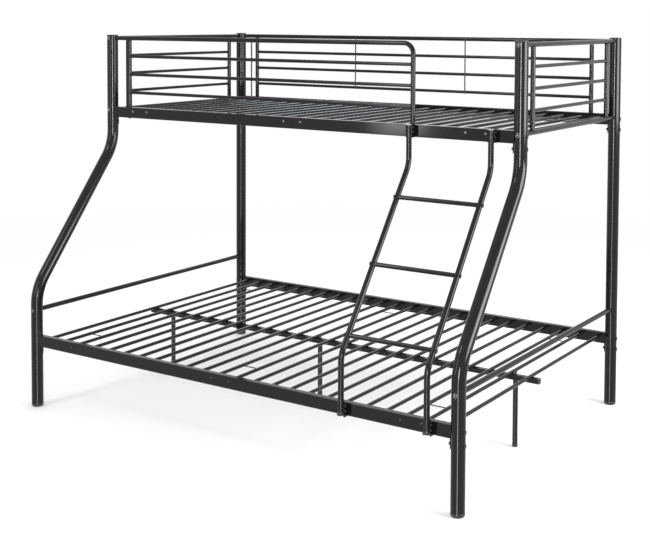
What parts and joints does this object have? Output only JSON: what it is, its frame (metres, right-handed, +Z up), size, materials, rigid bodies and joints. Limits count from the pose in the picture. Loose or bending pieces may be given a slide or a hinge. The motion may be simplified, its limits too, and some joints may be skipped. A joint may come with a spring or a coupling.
{
  "type": "bunk bed",
  "caption": "Metal bunk bed: a single bed over a double one, with leaning front posts, guard rails and a fixed slanted ladder at the right end.",
  "frame": {"origin": "on the floor, under the middle of the bed's outer box", "axes": "+X along the beds towards the ladder end, -Y towards the front where the ladder stands, +Z up"},
  "size_m": [2.0696, 1.4873, 1.578],
  "materials": {
    "black_paint": "gloss black powder coat on steel tube",
    "black_plastic": "satin moulded black",
    "light_plastic": "pale translucent moulding",
    "fastener": "black zinc with a soft shine"
  },
  "bodies": {
    "root": {"back_guard_bars": "black_paint", "back_guard_top_tube": "black_paint", "back_guard_uprights": "black_paint", "back_guard_wires": "black_paint", "centre_bar": "black_paint", "centre_bar_caps": "black_plastic", "centre_leg_bolts": "fastener", "centre_leg_feet": "black_plastic", "centre_legs": "black_paint", "end_left_bars": "black_paint", "end_left_bottom_tube": "black_paint", "end_left_top_tube": "black_paint", "end_left_uprights": "black_paint", "end_right_bars": "black_paint", "end_right_bottom_tube": "black_paint", "end_right_top_tube": "black_paint", "end_right_uprights": "black_paint", "end_tube_bolts": "fastener", "front_guard_bars": "black_paint", "front_guard_tube": "black_paint", "front_guard_upright": "black_paint", "front_guard_wire": "black_paint", "guard_foot_bolts": "fastener", "ladder_bracket_bolts": "fastener", "ladder_brackets": "black_paint", "ladder_caps": "light_plastic", "ladder_plugs": "black_plastic", "ladder_rung_bolts": "fastener", "ladder_rung_bottom": "black_paint", "ladder_rung_middle": "black_paint", "ladder_rung_top": "black_paint", "ladder_stile_left": "black_paint", "ladder_stile_right": "black_paint", "lower_end_bar_left": "black_paint", "lower_end_bar_right": "black_paint", "lower_slat_links": "black_paint", "lower_slats": "black_paint", "post_back_left": "black_paint", "post_back_right": "black_paint", "post_caps": "black_plastic", "post_feet": "black_plastic", "post_front_left": "black_paint", "post_front_right": "black_paint", "rail_bolts": "fastener", "rail_lower_back": "black_paint", "rail_lower_front": "black_paint", "rail_nuts": "fastener", "rail_saddles_lower": "black_paint", "rail_saddles_upper": "black_paint", "rail_upper_back": "black_paint", "rail_upper_front": "black_paint", "upper_slat_links": "black_paint", "upper_slats": "black_paint"}
  },
  "joints": []
}
